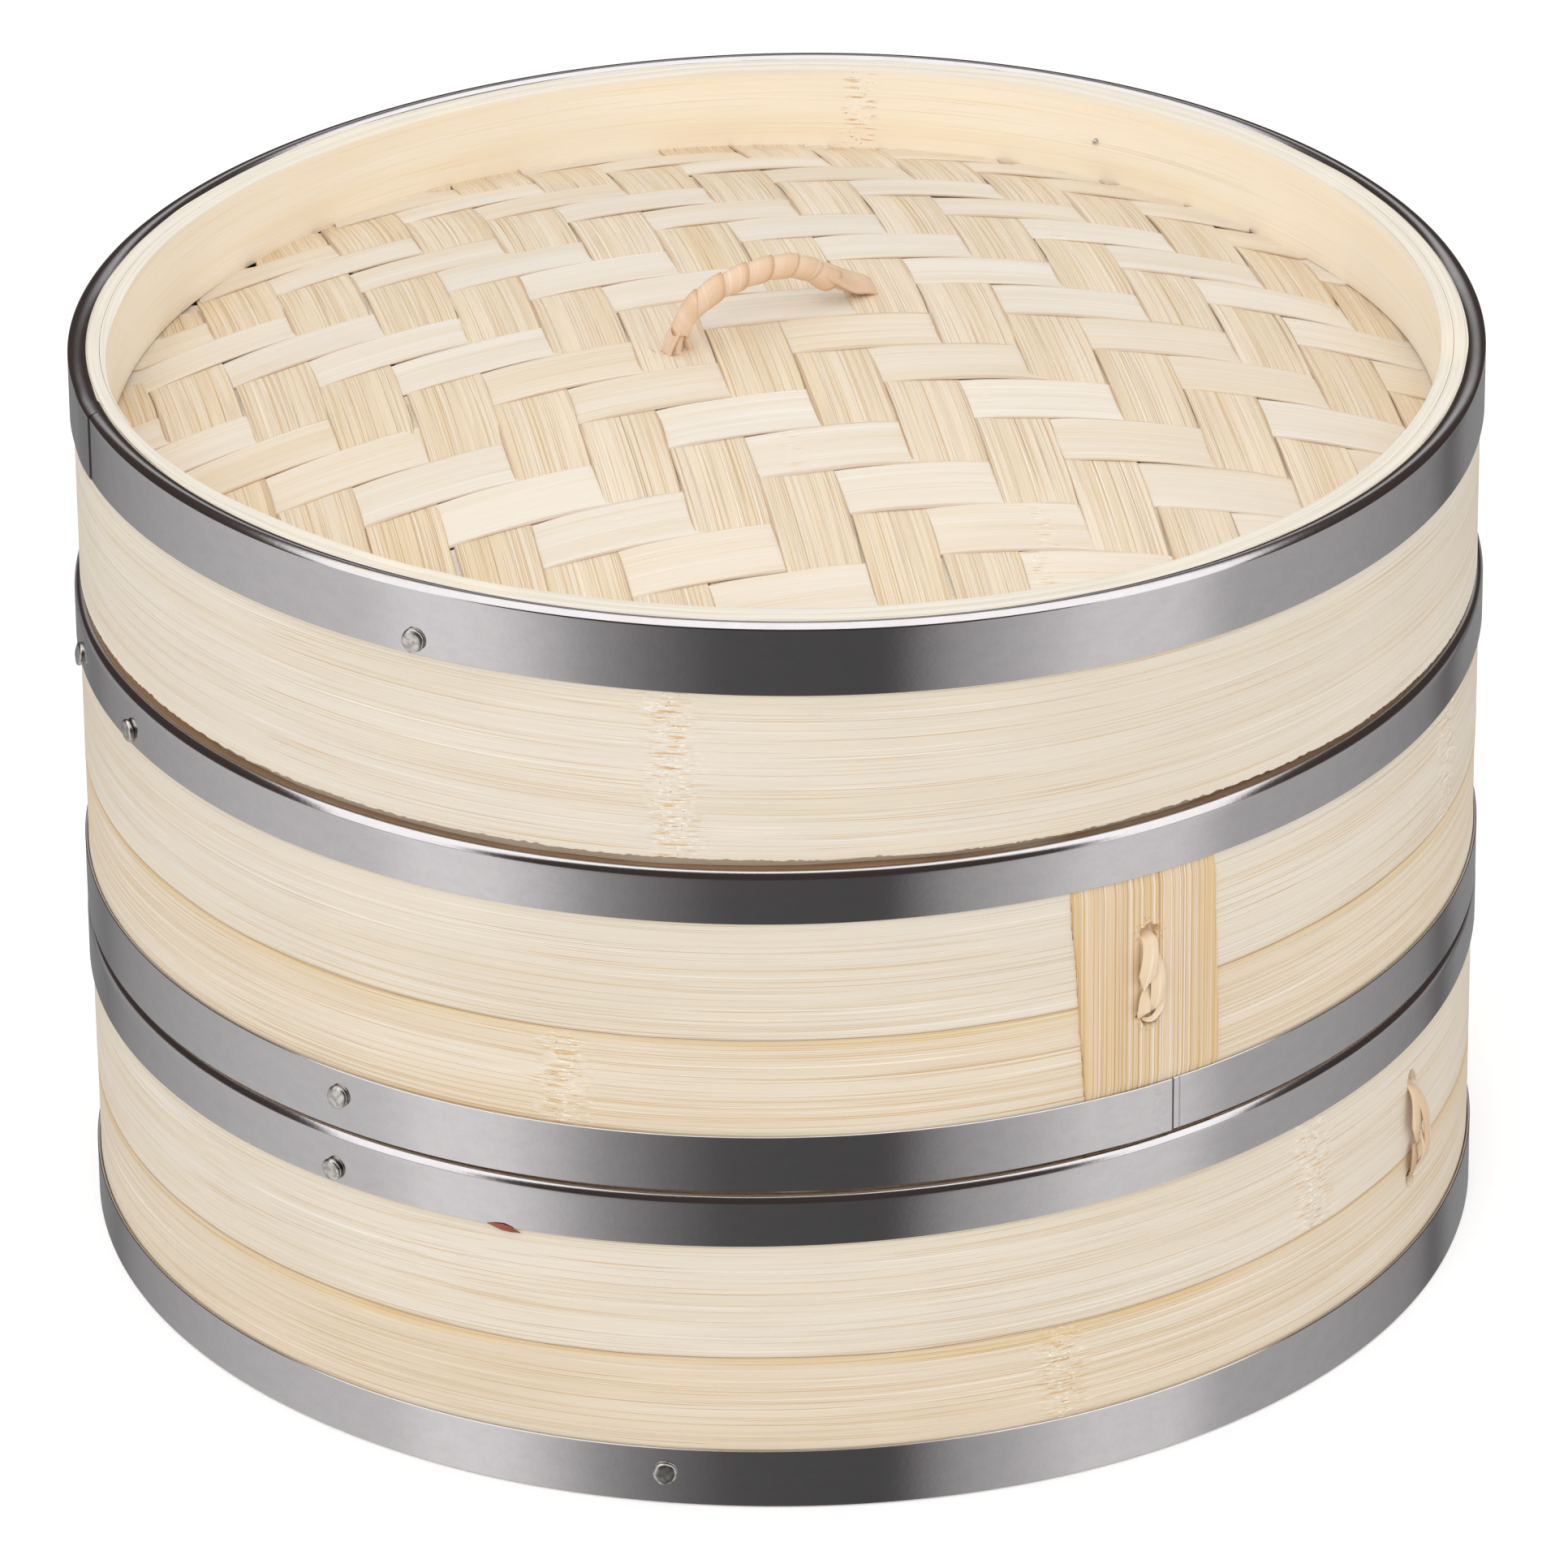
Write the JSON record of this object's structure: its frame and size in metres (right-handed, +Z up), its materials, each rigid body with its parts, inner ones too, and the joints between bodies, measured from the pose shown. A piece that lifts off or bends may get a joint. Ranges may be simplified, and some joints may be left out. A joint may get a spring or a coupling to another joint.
{
  "type": "bamboo steamer",
  "caption": "Round stacking bamboo steamer: slatted tiers with steel bands, and a lid with a domed woven top set below its rim and a wrapped rattan handle.",
  "frame": {"origin": "centre of the base, on the surface that the steamer stands on", "axes": "+Z up through the tiers and the lid, -Y towards the side that the picture shows, +X to that side's right"},
  "size_m": [0.2542, 0.2542, 0.1854],
  "materials": {
    "bamboo_wall": "bare pale bamboo, fine lengthwise grain, satin",
    "bamboo_inner": "bare pale bamboo, smooth inner side, satin",
    "bamboo_slat": "bare split bamboo, satin",
    "bamboo_weave": "flat split bamboo strips in a two over, two under twill",
    "rattan": "peeled rattan, smooth, pinkish tan",
    "steel_band": "thin stainless strip, satin, with a polished rolled rim",
    "steel_nail": "bright zinc plated nail head"
  },
  "bodies": {
    "lower_tier": {"lower_tier_wall_strip_lower": "bamboo_wall", "lower_tier_wall_strip_upper": "bamboo_wall", "lower_tier_top_band": "steel_band", "lower_tier_bottom_band": "steel_band", "lower_tier_inner_hoop_lower": "bamboo_inner", "lower_tier_inner_hoop_upper": "bamboo_inner", "lower_tier_slat_1": "bamboo_slat", "lower_tier_slat_2": "bamboo_slat", "lower_tier_slat_3": "bamboo_slat", "lower_tier_slat_4": "bamboo_slat", "lower_tier_slat_5": "bamboo_slat", "lower_tier_slat_6": "bamboo_slat", "lower_tier_slat_7": "bamboo_slat", "lower_tier_slat_8": "bamboo_slat", "lower_tier_slat_9": "bamboo_slat", "lower_tier_crossbar_1": "bamboo_slat", "lower_tier_crossbar_2": "bamboo_slat", "lower_tier_stitch": "rattan", "lower_tier_top_nail_1": "steel_nail", "lower_tier_top_nail_2": "steel_nail", "lower_tier_bottom_nail_1": "steel_nail", "lower_tier_bottom_nail_2": "steel_nail"},
    "upper_tier": {"upper_tier_wall_strip_lower": "bamboo_wall", "upper_tier_wall_strip_upper": "bamboo_wall", "upper_tier_top_band": "steel_band", "upper_tier_bottom_band": "steel_band", "upper_tier_inner_hoop_lower": "bamboo_inner", "upper_tier_inner_hoop_upper": "bamboo_inner", "upper_tier_slat_1": "bamboo_slat", "upper_tier_slat_2": "bamboo_slat", "upper_tier_slat_3": "bamboo_slat", "upper_tier_slat_4": "bamboo_slat", "upper_tier_slat_5": "bamboo_slat", "upper_tier_slat_6": "bamboo_slat", "upper_tier_slat_7": "bamboo_slat", "upper_tier_slat_8": "bamboo_slat", "upper_tier_slat_9": "bamboo_slat", "upper_tier_crossbar_1": "bamboo_slat", "upper_tier_crossbar_2": "bamboo_slat", "upper_tier_stitch": "rattan", "upper_tier_joint_patch": "bamboo_wall", "upper_tier_top_nail_1": "steel_nail", "upper_tier_top_nail_2": "steel_nail", "upper_tier_top_nail_3": "steel_nail", "upper_tier_bottom_nail_1": "steel_nail", "upper_tier_bottom_nail_2": "steel_nail"},
    "lid": {"lid_wall": "bamboo_wall", "lid_rim_band": "steel_band", "lid_inner_hoop_lower": "bamboo_inner", "lid_inner_hoop_upper": "bamboo_inner", "lid_woven_mat": "bamboo_weave", "lid_rib_1": "bamboo_slat", "lid_rib_2": "bamboo_slat", "lid_handle_core": "rattan", "lid_handle_binding": "rattan", "lid_nail_1": "steel_nail", "lid_nail_2": "steel_nail"}
  },
  "joints": [
    {"name": "upper_tier_lift", "type": "slide", "parent": "lower_tier", "child": "upper_tier", "axis": [0, 0, 1], "range_m": [0, 0.12]},
    {"name": "lid_lift", "type": "slide", "parent": "upper_tier", "child": "lid", "axis": [0, 0, 1], "range_m": [0, 0.12]}
  ]
}
